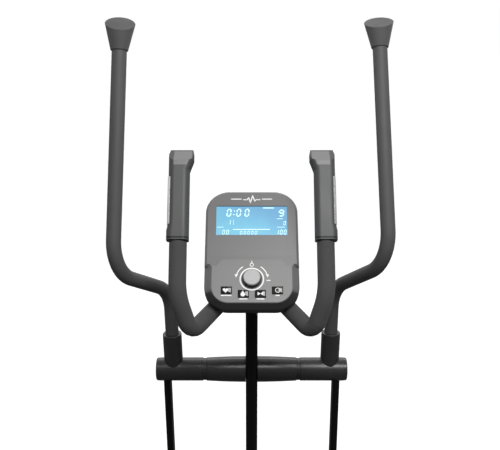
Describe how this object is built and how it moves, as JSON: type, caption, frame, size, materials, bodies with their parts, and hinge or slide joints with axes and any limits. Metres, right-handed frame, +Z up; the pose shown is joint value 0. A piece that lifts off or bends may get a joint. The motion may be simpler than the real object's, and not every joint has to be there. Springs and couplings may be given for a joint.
{
  "type": "elliptical trainer",
  "caption": "Rear-drive elliptical trainer with swinging handles, fixed pulse-grip bar, tilted console with dial and keys, crank-driven pedal arms and enclosed flywheel.",
  "frame": {"origin": "on the floor, under the middle of the machine's bounding box", "axes": "+Z up, +X to the user's right, +Y the way the user faces"},
  "size_m": [0.6196, 1.269, 1.6913],
  "materials": {
    "black_frame": "satin",
    "dark_tube": "matt",
    "pivot_plastic": "satin",
    "cap_rubber": "matt",
    "grip_foam": "matt",
    "grip_plastic": "matt",
    "sensor_metal": "brushed",
    "console_plastic": "satin",
    "console_dark": "satin",
    "clear_lens": "gloss",
    "display": "gloss",
    "dial_plastic": "satin",
    "button_plastic": "gloss",
    "housing_plastic": "satin",
    "foot_plastic": "matt",
    "pedal_plastic": "matt",
    "wheel_plastic": "matt",
    "steel": "brushed",
    "zinc_fasteners": "plated",
    "iron": "cast",
    "pulley_plastic": "matt",
    "belt_rubber": "matt",
    "bush_nylon": "matt"
  },
  "bodies": {
    "frame": {"main_beam": "black_frame", "front_stabiliser": "black_frame", "rear_stabiliser": "black_frame", "front_end_caps": "foot_plastic", "rear_end_caps": "foot_plastic", "mast": "black_frame", "mast_foot": "black_frame", "frame_bolts": "zinc_fasteners", "cross_tube": "black_frame", "pivot_cover_left": "pivot_plastic", "pivot_cover_right": "pivot_plastic", "pivot_axle": "steel", "fixed_bar_left": "black_frame", "fixed_bar_right": "black_frame", "bar_foam_left": "grip_foam", "bar_foam_right": "grip_foam", "pulse_grip_left": "grip_plastic", "pulse_grip_right": "grip_plastic", "pulse_sensor_left": "sensor_metal", "pulse_sensor_right": "sensor_metal", "console_back": "console_dark", "console_front": "console_plastic", "display_lens": "clear_lens", "display_panel": "display", "console_neck": "console_dark", "drive_bracket": "black_frame", "drive_belt": "belt_rubber", "housing_left": "housing_plastic", "housing_right": "housing_plastic", "power_inlet": "button_plastic"},
    "crank": {"crank_axle": "steel", "crank_left": "black_frame", "crank_right": "black_frame", "crank_pulley": "pulley_plastic"},
    "flywheel": {"flywheel": "iron"},
    "dial": {"dial": "dial_plastic"},
    "swing_left": {"swing_hub_left": "dark_tube", "pivot_bush_left": "bush_nylon", "hub_plug_left": "pivot_plastic", "lower_arm_left": "black_frame", "handle_left": "dark_tube", "handle_cap_left": "cap_rubber"},
    "pedal_left": {"pedal_arm_left": "black_frame", "footplate_left": "pedal_plastic"},
    "wheel_left": {"transport_wheel_left": "wheel_plastic"},
    "leveller_left": {"leveller_left": "foot_plastic"},
    "swing_right": {"swing_hub_right": "dark_tube", "pivot_bush_right": "bush_nylon", "hub_plug_right": "pivot_plastic", "lower_arm_right": "black_frame", "handle_right": "dark_tube", "handle_cap_right": "cap_rubber"},
    "pedal_right": {"pedal_arm_right": "black_frame", "footplate_right": "pedal_plastic"},
    "wheel_right": {"transport_wheel_right": "wheel_plastic"},
    "leveller_right": {"leveller_right": "foot_plastic"},
    "button_1": {"button_1": "button_plastic"},
    "button_2": {"button_2": "button_plastic"},
    "button_3": {"button_3": "button_plastic"},
    "button_4": {"button_4": "button_plastic"}
  },
  "joints": [
    {"name": "swing_left", "type": "hinge", "parent": "frame", "child": "swing_left", "pos_m": [-0.192, 0.376, 0.85], "axis": [1, 0, 0], "range_deg": [-17, 12.7]},
    {"name": "swing_right", "type": "hinge", "parent": "frame", "child": "swing_right", "pos_m": [0.192, 0.376, 0.85], "axis": [1, 0, 0], "range_deg": [-12.7, 17]},
    {"name": "pedal_pivot_left", "type": "hinge", "parent": "swing_left", "child": "pedal_left", "pos_m": [-0.16, 0.45068, 0.25467], "axis": [1, 0, 0], "range_deg": [-12.7, 17]},
    {"name": "pedal_pivot_right", "type": "hinge", "parent": "swing_right", "child": "pedal_right", "pos_m": [0.16, 0.40583, 0.25074], "axis": [1, 0, 0], "range_deg": [-17, 12.7]},
    {"name": "crank_spin", "type": "hinge", "parent": "frame", "child": "crank", "pos_m": [0, -0.464, 0.28], "axis": [1, 0, 0], "continuous": true},
    {"name": "flywheel_spin", "type": "hinge", "parent": "frame", "child": "flywheel", "pos_m": [0, -0.209, 0.25], "axis": [1, 0, 0], "continuous": true},
    {"name": "dial_turn", "type": "hinge", "parent": "frame", "child": "dial", "pos_m": [0, 0.22404, 1.13834], "axis": [0, -0.7547, 0.6561], "continuous": true},
    {"name": "button_1_press", "type": "slide", "parent": "frame", "child": "button_1", "axis": [0, 0.7547, -0.6561], "range_m": [0, 0.0012], "stiffness_N_per_m": 600, "springref_m": -0.001},
    {"name": "button_2_press", "type": "slide", "parent": "frame", "child": "button_2", "axis": [0, 0.7547, -0.6561], "range_m": [0, 0.0012], "stiffness_N_per_m": 600, "springref_m": -0.001},
    {"name": "button_3_press", "type": "slide", "parent": "frame", "child": "button_3", "axis": [0, 0.7547, -0.6561], "range_m": [0, 0.0012], "stiffness_N_per_m": 600, "springref_m": -0.001},
    {"name": "button_4_press", "type": "slide", "parent": "frame", "child": "button_4", "axis": [0, 0.7547, -0.6561], "range_m": [0, 0.0012], "stiffness_N_per_m": 600, "springref_m": -0.001},
    {"name": "wheel_left_spin", "type": "hinge", "parent": "frame", "child": "wheel_left", "pos_m": [-0.2575, 0.61, 0.037], "axis": [1, 0, 0], "continuous": true},
    {"name": "leveller_left_turn", "type": "hinge", "parent": "frame", "child": "leveller_left", "pos_m": [-0.2725, -0.584, 0.02], "axis": [0, 0, 1], "continuous": true},
    {"name": "wheel_right_spin", "type": "hinge", "parent": "frame", "child": "wheel_right", "pos_m": [0.2575, 0.61, 0.037], "axis": [1, 0, 0], "continuous": true},
    {"name": "leveller_right_turn", "type": "hinge", "parent": "frame", "child": "leveller_right", "pos_m": [0.2725, -0.584, 0.02], "axis": [0, 0, 1], "continuous": true}
  ],
  "couplings": [
    {"joint": "swing_right", "follows": "swing_left", "ratio": -1},
    {"joint": "pedal_pivot_left", "follows": "swing_left", "ratio": -1},
    {"joint": "pedal_pivot_right", "follows": "swing_left", "ratio": 1},
    {"joint": "flywheel_spin", "follows": "crank_spin", "ratio": 4.2857}
  ]
}
